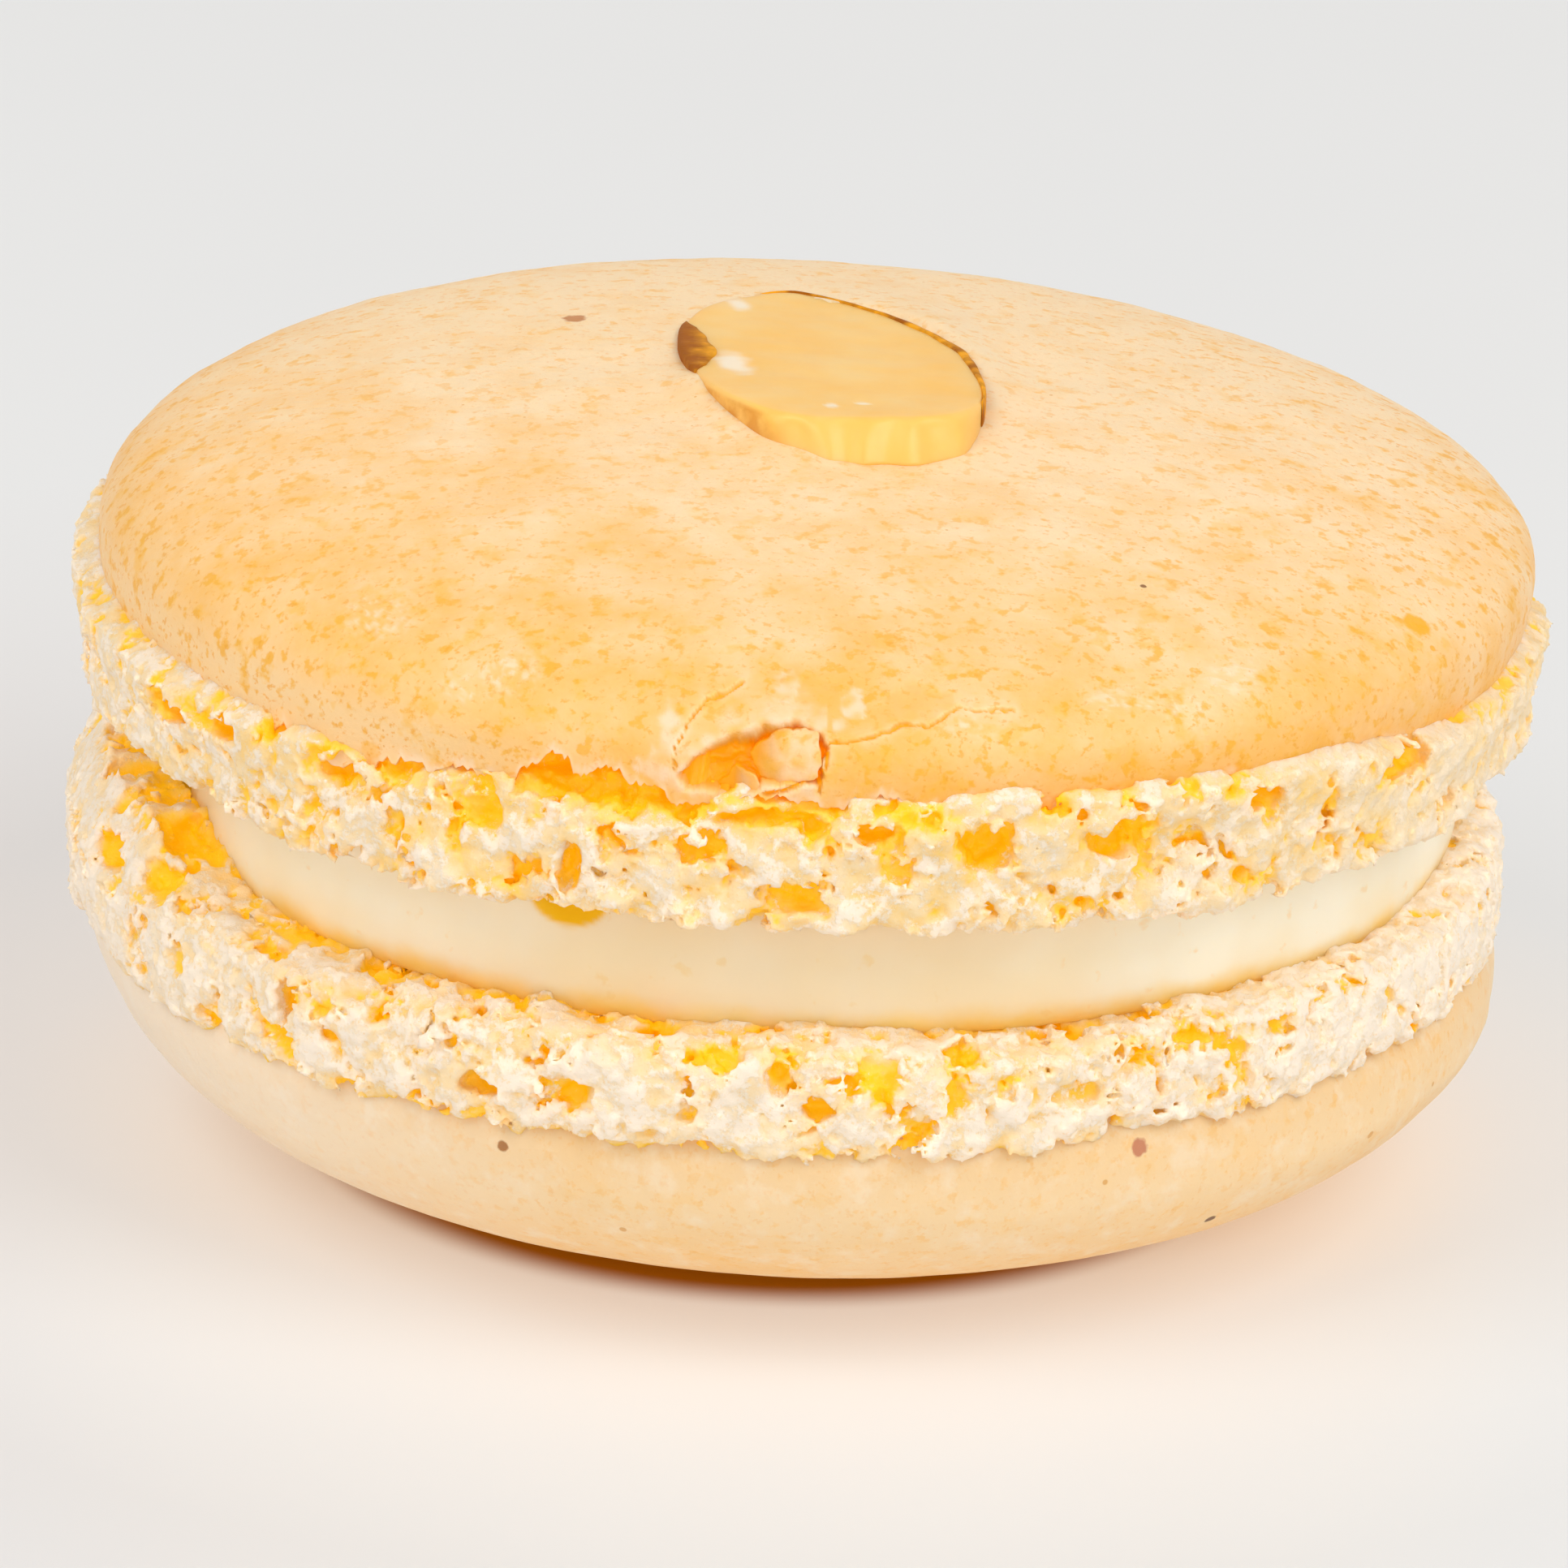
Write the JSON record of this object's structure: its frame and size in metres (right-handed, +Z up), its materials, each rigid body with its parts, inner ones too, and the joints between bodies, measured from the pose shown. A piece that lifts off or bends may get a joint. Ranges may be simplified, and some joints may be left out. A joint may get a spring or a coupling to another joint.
{
  "type": "french macaron",
  "caption": "Round sandwich biscuit: two domed almond shells with ruffled feet round a cream disc, and an almond flake on top.",
  "frame": {"origin": "centre of the small flat spot under the lower shell, on the surface that the macaron stands on", "axes": "+Z up through the stack, -Y towards the front, +X to the right"},
  "size_m": [0.0501, 0.0502, 0.0269],
  "materials": {
    "lower_shell": "baked almond meringue, pale dry crust, crumbly foot",
    "cream_filling": "smooth pale butter cream",
    "upper_shell": "baked almond meringue, warm peach crust, crumbly foot",
    "almond_flake": "toasted almond, cut face, brown skin on its rim"
  },
  "bodies": {
    "root": {"lower_shell": "lower_shell", "cream_filling": "cream_filling", "upper_shell": "upper_shell", "almond_flake": "almond_flake"}
  },
  "joints": []
}
